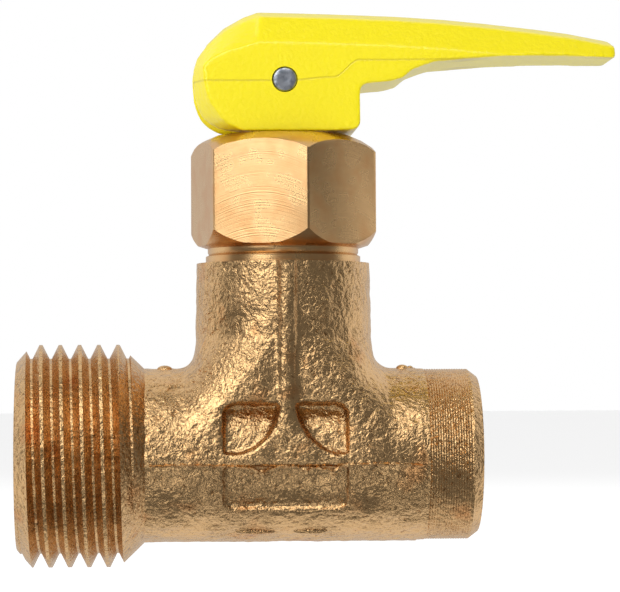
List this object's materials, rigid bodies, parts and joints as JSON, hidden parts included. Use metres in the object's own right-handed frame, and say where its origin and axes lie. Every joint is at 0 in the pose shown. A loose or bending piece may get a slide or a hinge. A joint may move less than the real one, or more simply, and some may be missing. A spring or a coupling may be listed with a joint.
{
  "type": "lever-operated shut-off valve",
  "caption": "Small straight brass shut-off valve with a male inlet thread, female outlet, hexagon bonnet and a yellow cam lever that lifts a spring-loaded seat disc.",
  "frame": {"origin": "centre of the inlet end face, on the axis of the run", "axes": "+X along the flow from the inlet to the outlet, +Z along the stem towards the lever, +Y to the far side as pictured"},
  "size_m": [0.0566, 0.021, 0.0524],
  "materials": {
    "forged_brass": "forged, bright dipped",
    "turned_brass": "machined",
    "yellow_paint": "powder coated, satin",
    "steel": "bright",
    "rubber": "moulded",
    "spacer_plastic": "turned",
    "gasket_fibre": "pressed fibre"
  },
  "bodies": {
    "valve_body": {"body": "forged_brass", "bonnet": "turned_brass", "bonnet_gasket": "gasket_fibre", "gland_bush": "turned_brass", "lower_o_ring": "rubber", "spacer_ring": "spacer_plastic", "upper_o_ring": "rubber", "return_spring": "steel"},
    "plunger": {"disc_holder": "turned_brass", "seat_disc": "rubber", "disc_washer": "turned_brass", "disc_screw": "steel", "stem_clip": "steel"},
    "spindle": {"stem": "turned_brass"},
    "cam_lever": {"lever": "yellow_paint", "pivot_pin": "steel"}
  },
  "joints": [
    {"name": "disc_lift", "type": "slide", "parent": "valve_body", "child": "plunger", "axis": [0, 0, 1], "range_m": [0, 0.0044], "deforming": ["return_spring"]},
    {"name": "stem_swivel", "type": "hinge", "parent": "plunger", "child": "spindle", "pos_m": [0.02516, 0, 0.02], "axis": [0, 0, 1], "continuous": true},
    {"name": "lever_hinge", "type": "hinge", "parent": "spindle", "child": "cam_lever", "pos_m": [0.02516, 0, 0.03515], "axis": [0, -1, 0], "range_deg": [0, 90]}
  ],
  "couplings": [
    {"joint": "lever_hinge", "follows": "disc_lift", "rad_per_m": 356.99}
  ]
}
